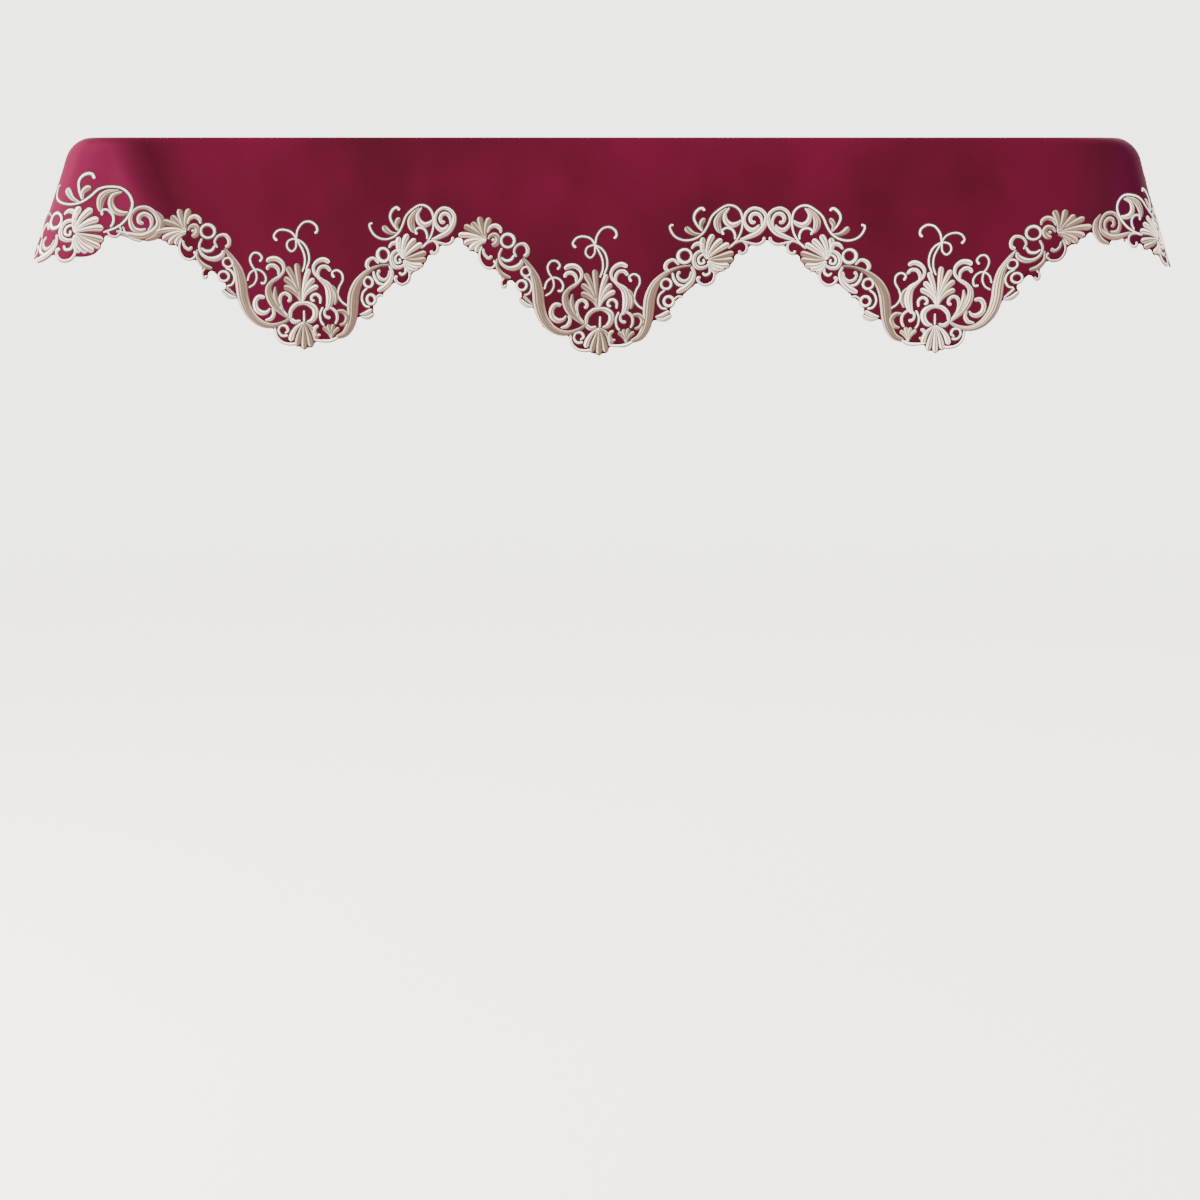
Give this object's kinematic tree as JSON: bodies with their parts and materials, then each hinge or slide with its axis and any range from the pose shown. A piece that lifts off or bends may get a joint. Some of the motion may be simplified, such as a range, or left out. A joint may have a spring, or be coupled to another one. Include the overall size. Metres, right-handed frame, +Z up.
{
  "type": "mantel scarf on a mantel shelf",
  "caption": "Satin mantel scarf with an embroidered, lobed edge, draped over the front and both ends of a plain shelf board.",
  "frame": {"origin": "middle of the shelf board's underside, the face that the fireplace surround carries", "axes": "+X along the shelf to the viewer's right, -Y out of the front with the three lobes, +Z up"},
  "size_m": [1.3524, 0.2938, 0.2551],
  "materials": {
    "burgundy_satin": "burgundy polyester satin, its edge worked in raised ivory and champagne rayon thread",
    "white_paint": "plain board, painted white, satin sheen"
  },
  "bodies": {
    "root": {"scarf": "burgundy_satin", "shelf_board": "white_paint"}
  },
  "joints": []
}
